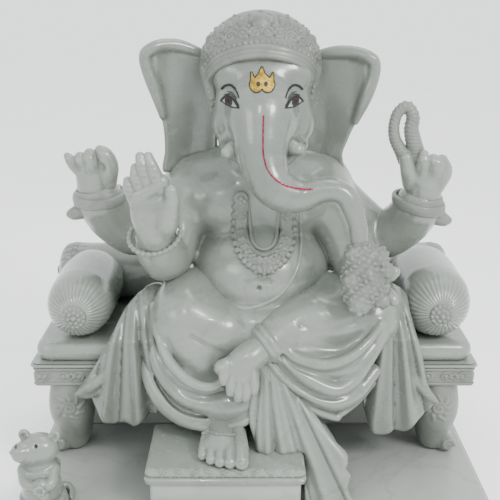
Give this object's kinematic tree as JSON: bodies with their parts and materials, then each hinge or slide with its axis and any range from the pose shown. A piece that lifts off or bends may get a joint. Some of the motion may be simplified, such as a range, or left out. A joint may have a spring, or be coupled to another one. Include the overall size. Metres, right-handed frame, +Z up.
{
  "type": "ganesha idol",
  "caption": "White marble figure of a seated four-armed elephant-headed deity on a cushioned bench, with one foot on a footstool and a mouse beside it.",
  "frame": {"origin": "centre of the plinth's underside", "axes": "+Z up, the figure faces -Y, its left hand is towards +X"},
  "size_m": [0.569, 0.4, 0.5993],
  "materials": {
    "polished_marble": "polished",
    "carved_marble": "satin",
    "matte_marble": "matte",
    "gold_paint": "gloss",
    "eye_paint": "gloss",
    "red_stones": "gloss",
    "steel": "satin"
  },
  "bodies": {
    "root": {"plinth": "polished_marble", "bench_core": "matte_marble", "right_bench_leg": "carved_marble", "left_bench_leg": "carved_marble", "bench_band": "carved_marble", "bench_top": "polished_marble", "seat_mattress": "polished_marble", "back_roll": "polished_marble", "right_bolster": "polished_marble", "left_bolster": "polished_marble", "right_bolster_button": "carved_marble", "left_bolster_button": "carved_marble", "footstool_block": "polished_marble", "footstool_top": "polished_marble", "mouse": "polished_marble", "torso": "polished_marble", "right_leg": "polished_marble", "right_foot": "polished_marble", "left_leg": "polished_marble", "left_foot": "polished_marble", "right_side_drape": "polished_marble", "left_side_drape": "polished_marble", "centre_drape": "polished_marble", "head": "polished_marble", "trunk": "polished_marble", "right_ear": "polished_marble", "left_ear": "polished_marble", "right_tusk": "polished_marble", "left_tusk": "polished_marble", "crown": "carved_marble", "tilak": "gold_paint", "painted_eyes": "eye_paint", "trunk_line": "red_stones", "necklace": "carved_marble", "sacred_thread": "carved_marble", "right_rear_arm": "polished_marble", "right_rear_cuff": "carved_marble", "right_rear_hand": "polished_marble", "left_rear_arm": "polished_marble", "left_rear_cuff": "carved_marble", "left_rear_hand": "polished_marble", "noose": "carved_marble", "right_front_arm": "polished_marble", "right_front_hand": "polished_marble", "right_bracelet": "carved_marble", "left_front_arm": "polished_marble", "left_front_hand": "polished_marble", "left_bracelet": "carved_marble", "sweet": "carved_marble", "anklet": "carved_marble", "hand_dowels": "steel"}
  },
  "joints": []
}
